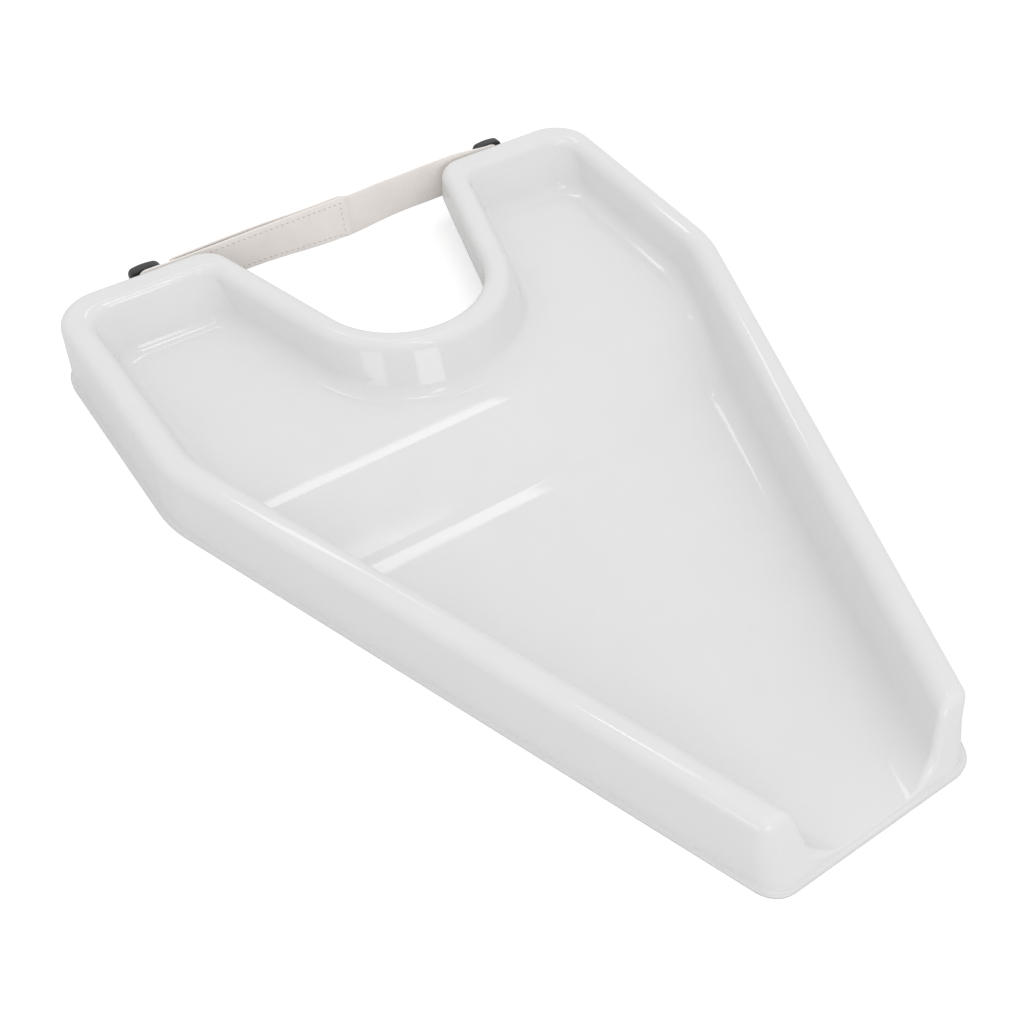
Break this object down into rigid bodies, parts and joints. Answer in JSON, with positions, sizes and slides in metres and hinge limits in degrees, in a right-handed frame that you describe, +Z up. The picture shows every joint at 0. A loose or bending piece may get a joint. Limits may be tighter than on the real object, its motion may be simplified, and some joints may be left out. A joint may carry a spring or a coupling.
{
  "type": "hair washing tray",
  "caption": "Shallow plastic hair-washing tray with a U-shaped neck cut-out, an open tapering spout and a hook-and-loop neck strap held by screw-on knobs.",
  "frame": {"origin": "middle of the footprint on the plane the tray stands on", "axes": "+Z up, +Y from the spout lip towards the shoulder horns, +X to the right seen from the spout end"},
  "size_m": [0.4132, 0.5504, 0.044],
  "materials": {
    "tray_plastic": "glossy white thermoformed plastic",
    "knob_plastic": "satin black moulded plastic",
    "steel": "plain zinc-plated steel",
    "strap_web": "woven off-white webbing",
    "tape": "hook-and-loop tape"
  },
  "bodies": {
    "basin": {"tray": "tray_plastic", "washer_left": "steel", "washer_right": "steel", "nut_left": "steel", "nut_right": "steel"},
    "knob_left": {"knob_left": "knob_plastic", "stud_left": "steel"},
    "knob_right": {"knob_right": "knob_plastic", "stud_right": "steel"},
    "strap_left": {"strap_left": "strap_web", "hook_tape": "tape"},
    "strap_right": {"strap_right": "strap_web", "loop_tape": "tape"}
  },
  "joints": [
    {"name": "knob_left_turn", "type": "hinge", "parent": "basin", "child": "knob_left", "pos_m": [-0.1335, 0.26425, 0.035], "axis": [0, 1, 0], "continuous": true},
    {"name": "knob_right_turn", "type": "hinge", "parent": "basin", "child": "knob_right", "pos_m": [0.1335, 0.26425, 0.035], "axis": [0, 1, 0], "continuous": true},
    {"name": "strap_left_swing", "type": "hinge", "parent": "basin", "child": "strap_left", "pos_m": [-0.1335, 0.26425, 0.035], "axis": [0, -1, 0], "range_deg": [0, 180]},
    {"name": "strap_right_swing", "type": "hinge", "parent": "basin", "child": "strap_right", "pos_m": [0.1335, 0.26425, 0.035], "axis": [0, 1, 0], "range_deg": [0, 180]}
  ]
}
